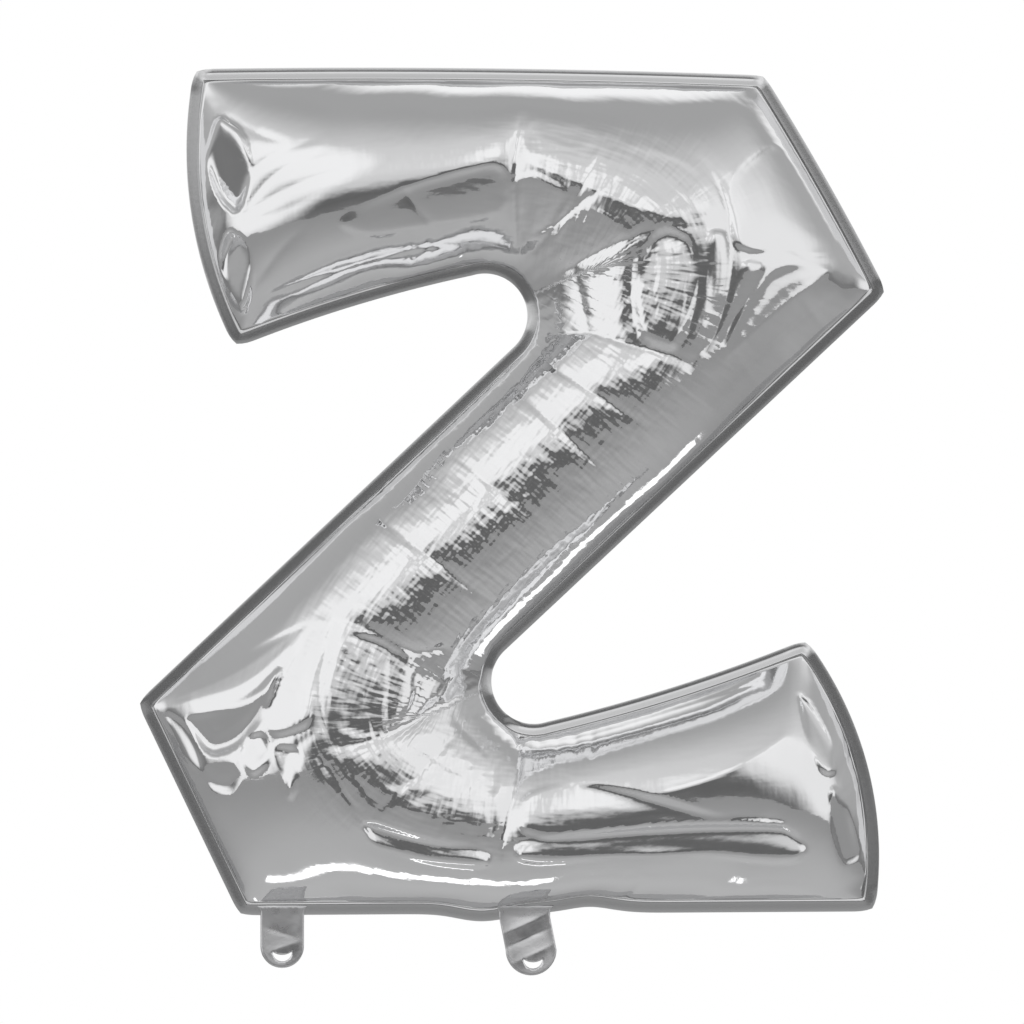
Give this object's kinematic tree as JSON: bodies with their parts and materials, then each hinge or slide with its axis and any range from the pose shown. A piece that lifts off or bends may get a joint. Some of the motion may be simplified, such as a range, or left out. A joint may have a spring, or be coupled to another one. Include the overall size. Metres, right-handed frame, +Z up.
{
  "type": "letter foil balloon, letter Z",
  "caption": "Inflated foil balloon in the shape of the letter Z: two film panels welded round the edge, with a punched hanging tab and an inflation tail.",
  "frame": {"origin": "middle of the inflated envelope, in the plane of the weld", "axes": "+X to the letter's right seen from the front, +Z up the letter, the front faces -Y"},
  "size_m": [0.2994, 0.0874, 0.3634],
  "materials": {
    "foil": "metallised film, mirror bright",
    "tab_foil": "metallised film, welded flat, slightly crinkled",
    "valve_film": "clear film"
  },
  "bodies": {
    "envelope": {"front_panel": "foil", "back_panel": "foil"},
    "hanging_tab": {"hanging_tab": "tab_foil"},
    "inflation_tail": {"tail_front_film": "tab_foil", "tail_back_film": "tab_foil", "valve_sleeve": "valve_film"}
  },
  "joints": [
    {"name": "hanging_tab_fold", "type": "hinge", "parent": "envelope", "child": "hanging_tab", "pos_m": [-0.092, 0, -0.1711], "axis": [1, 0, 0], "range_deg": [-90, 90]},
    {"name": "inflation_tail_fold", "type": "hinge", "parent": "envelope", "child": "inflation_tail", "pos_m": [0.005, 0, -0.1714], "axis": [1, 0, 0], "range_deg": [-90, 90]}
  ]
}
